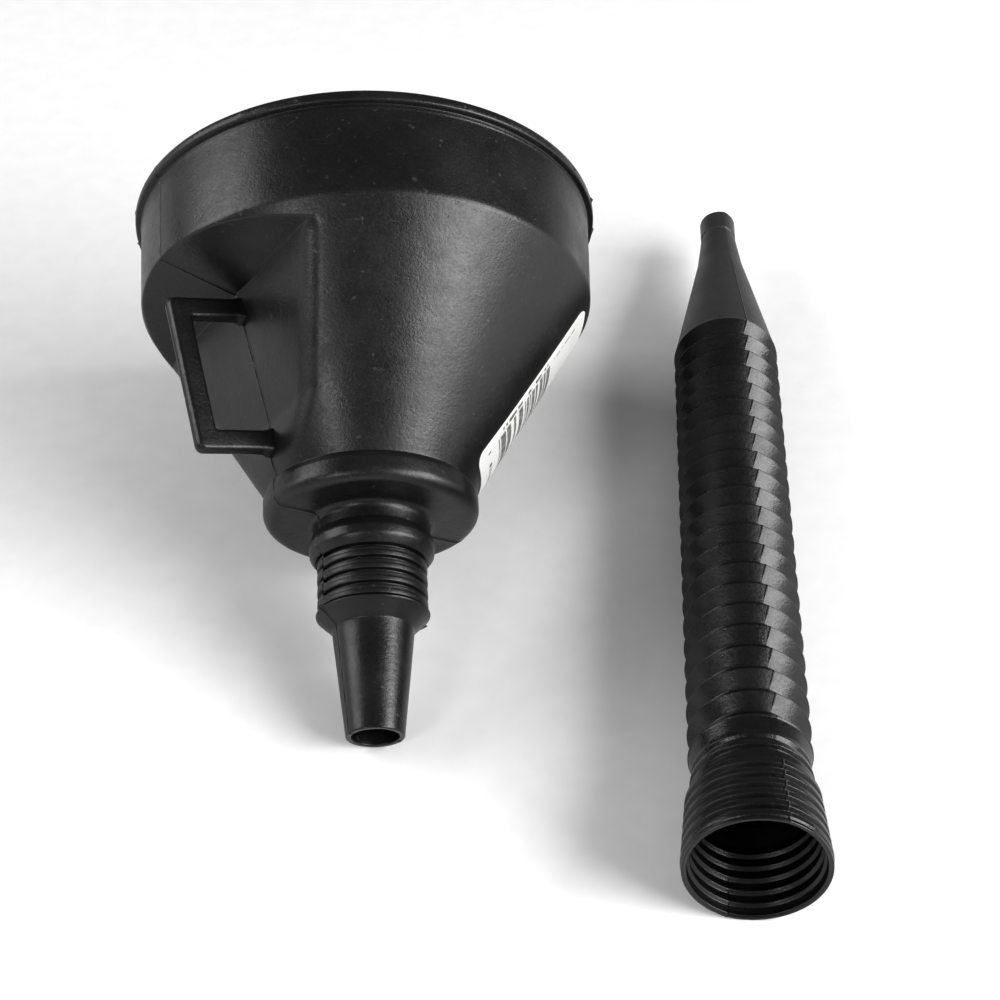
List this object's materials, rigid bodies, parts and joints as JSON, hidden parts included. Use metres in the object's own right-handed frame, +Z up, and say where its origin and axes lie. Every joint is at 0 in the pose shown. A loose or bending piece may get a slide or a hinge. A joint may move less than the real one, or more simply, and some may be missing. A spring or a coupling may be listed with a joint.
{
  "type": "filling funnel with flexible spout",
  "caption": "Wide filling funnel with a flat-sided cone, bracket handle, collar and ribbed neck, and a detached bellows spout with a tapered nozzle lying beside it.",
  "frame": {"origin": "on the surface the part lies on, under the middle of the whole", "axes": "+Z up; +Y from the spout ends towards the funnel's mouth, along the funnel's axis in plan; +X from the funnel to the flexible spout"},
  "size_m": [0.2096, 0.309, 0.1432],
  "materials": {
    "funnel_plastic": "satin moulded polyethylene",
    "flex_plastic": "glossy blow-moulded polyethylene",
    "strainer_plastic": "satin",
    "gauze_metal": "woven wire",
    "label_paper": "coated paper label"
  },
  "bodies": {
    "funnel": {"funnel_body": "funnel_plastic", "funnel_handle": "funnel_plastic", "funnel_neck": "funnel_plastic", "label": "label_paper"},
    "strainer": {"strainer_frame": "strainer_plastic", "strainer_gauze": "gauze_metal"},
    "socket": {"flex_socket": "flex_plastic"},
    "fold_01": {"bellows_fold_01": "flex_plastic"},
    "fold_02": {"bellows_fold_02": "flex_plastic"},
    "fold_03": {"bellows_fold_03": "flex_plastic"},
    "fold_04": {"bellows_fold_04": "flex_plastic"},
    "fold_05": {"bellows_fold_05": "flex_plastic"},
    "fold_06": {"bellows_fold_06": "flex_plastic"},
    "fold_07": {"bellows_fold_07": "flex_plastic"},
    "fold_08": {"bellows_fold_08": "flex_plastic"},
    "fold_09": {"bellows_fold_09": "flex_plastic"},
    "fold_10": {"bellows_fold_10": "flex_plastic"},
    "fold_11": {"bellows_fold_11": "flex_plastic"},
    "fold_12": {"bellows_fold_12": "flex_plastic"},
    "fold_13": {"bellows_fold_13": "flex_plastic"},
    "fold_14": {"bellows_fold_14": "flex_plastic"},
    "fold_15": {"bellows_fold_15": "flex_plastic"},
    "fold_16": {"bellows_fold_16": "flex_plastic"},
    "fold_17": {"bellows_fold_17": "flex_plastic"},
    "fold_18": {"bellows_fold_18": "flex_plastic"},
    "fold_19": {"bellows_fold_19": "flex_plastic"},
    "fold_20": {"bellows_fold_20": "flex_plastic"},
    "nozzle": {"flex_nozzle": "flex_plastic"}
  },
  "joints": [
    {"name": "strainer_lift", "type": "slide", "parent": "funnel", "child": "strainer", "axis": [0, 0.9157, 0.4018], "range_m": [0, 0.118]},
    {"name": "spout_aside", "type": "slide", "parent": "funnel", "child": "socket", "axis": [1, 0, 0], "range_m": [0, 0.08]},
    {"name": "bend_side", "type": "hinge", "parent": "socket", "child": "fold_01", "pos_m": [0.0715, -0.10847, 0.01981], "axis": [-0.001, -0.012, -0.9999], "range_deg": [-1, 8.5]},
    {"name": "bend_up", "type": "hinge", "parent": "fold_01", "child": "fold_02", "pos_m": [0.07226, -0.0997, 0.0197], "axis": [0.9962, -0.0872, 0], "range_deg": [0, 8.5]},
    {"name": "side_03", "type": "hinge", "parent": "fold_02", "child": "fold_03", "pos_m": [0.07303, -0.09094, 0.0196], "axis": [-0.001, -0.012, -0.9999], "range_deg": [-1, 8.5]},
    {"name": "up_04", "type": "hinge", "parent": "fold_03", "child": "fold_04", "pos_m": [0.0738, -0.08217, 0.01949], "axis": [0.9962, -0.0872, 0], "range_deg": [0, 8.5]},
    {"name": "side_05", "type": "hinge", "parent": "fold_04", "child": "fold_05", "pos_m": [0.07456, -0.0734, 0.01939], "axis": [-0.001, -0.012, -0.9999], "range_deg": [-1, 8.5]},
    {"name": "up_06", "type": "hinge", "parent": "fold_05", "child": "fold_06", "pos_m": [0.07533, -0.06464, 0.01928], "axis": [0.9962, -0.0872, 0], "range_deg": [0, 8.5]},
    {"name": "side_07", "type": "hinge", "parent": "fold_06", "child": "fold_07", "pos_m": [0.0761, -0.05587, 0.01917], "axis": [-0.001, -0.012, -0.9999], "range_deg": [-1, 8.5]},
    {"name": "up_08", "type": "hinge", "parent": "fold_07", "child": "fold_08", "pos_m": [0.07687, -0.04711, 0.01907], "axis": [0.9962, -0.0872, 0], "range_deg": [0, 8.5]},
    {"name": "side_09", "type": "hinge", "parent": "fold_08", "child": "fold_09", "pos_m": [0.07763, -0.03834, 0.01896], "axis": [-0.001, -0.012, -0.9999], "range_deg": [-1, 8.5]},
    {"name": "up_10", "type": "hinge", "parent": "fold_09", "child": "fold_10", "pos_m": [0.0784, -0.02958, 0.01886], "axis": [0.9962, -0.0872, 0], "range_deg": [0, 8.5]},
    {"name": "side_11", "type": "hinge", "parent": "fold_10", "child": "fold_11", "pos_m": [0.07917, -0.02081, 0.01875], "axis": [-0.001, -0.012, -0.9999], "range_deg": [-1, 8.5]},
    {"name": "up_12", "type": "hinge", "parent": "fold_11", "child": "fold_12", "pos_m": [0.07993, -0.01204, 0.01865], "axis": [0.9962, -0.0872, 0], "range_deg": [0, 8.5]},
    {"name": "side_13", "type": "hinge", "parent": "fold_12", "child": "fold_13", "pos_m": [0.0807, -0.00328, 0.01854], "axis": [-0.001, -0.012, -0.9999], "range_deg": [-1, 8.5]},
    {"name": "up_14", "type": "hinge", "parent": "fold_13", "child": "fold_14", "pos_m": [0.08147, 0.00549, 0.01843], "axis": [0.9962, -0.0872, 0], "range_deg": [0, 8.5]},
    {"name": "side_15", "type": "hinge", "parent": "fold_14", "child": "fold_15", "pos_m": [0.08223, 0.01425, 0.01833], "axis": [-0.001, -0.012, -0.9999], "range_deg": [-1, 8.5]},
    {"name": "up_16", "type": "hinge", "parent": "fold_15", "child": "fold_16", "pos_m": [0.083, 0.02302, 0.01822], "axis": [0.9962, -0.0872, 0], "range_deg": [0, 8.5]},
    {"name": "side_17", "type": "hinge", "parent": "fold_16", "child": "fold_17", "pos_m": [0.08377, 0.03179, 0.01812], "axis": [-0.001, -0.012, -0.9999], "range_deg": [-1, 8.5]},
    {"name": "up_18", "type": "hinge", "parent": "fold_17", "child": "fold_18", "pos_m": [0.08453, 0.04055, 0.01801], "axis": [0.9962, -0.0872, 0], "range_deg": [0, 8.5]},
    {"name": "side_19", "type": "hinge", "parent": "fold_18", "child": "fold_19", "pos_m": [0.0853, 0.04932, 0.01791], "axis": [-0.001, -0.012, -0.9999], "range_deg": [-1, 8.5]},
    {"name": "up_20", "type": "hinge", "parent": "fold_19", "child": "fold_20", "pos_m": [0.08607, 0.05808, 0.0178], "axis": [0.9962, -0.0872, 0], "range_deg": [0, 8.5]},
    {"name": "side_21", "type": "hinge", "parent": "fold_20", "child": "nozzle", "pos_m": [0.08683, 0.06685, 0.01769], "axis": [-0.001, -0.012, -0.9999], "range_deg": [-1, 8.5]}
  ],
  "couplings": [
    {"joint": "side_03", "follows": "bend_side", "ratio": 1},
    {"joint": "up_04", "follows": "bend_up", "ratio": 1},
    {"joint": "side_05", "follows": "bend_side", "ratio": 1},
    {"joint": "up_06", "follows": "bend_up", "ratio": 1},
    {"joint": "side_07", "follows": "bend_side", "ratio": 1},
    {"joint": "up_08", "follows": "bend_up", "ratio": 1},
    {"joint": "side_09", "follows": "bend_side", "ratio": 1},
    {"joint": "up_10", "follows": "bend_up", "ratio": 1},
    {"joint": "side_11", "follows": "bend_side", "ratio": 1},
    {"joint": "up_12", "follows": "bend_up", "ratio": 1},
    {"joint": "side_13", "follows": "bend_side", "ratio": 1},
    {"joint": "up_14", "follows": "bend_up", "ratio": 1},
    {"joint": "side_15", "follows": "bend_side", "ratio": 1},
    {"joint": "up_16", "follows": "bend_up", "ratio": 1},
    {"joint": "side_17", "follows": "bend_side", "ratio": 1},
    {"joint": "up_18", "follows": "bend_up", "ratio": 1},
    {"joint": "side_19", "follows": "bend_side", "ratio": 1},
    {"joint": "up_20", "follows": "bend_up", "ratio": 1},
    {"joint": "side_21", "follows": "bend_side", "ratio": 1}
  ]
}
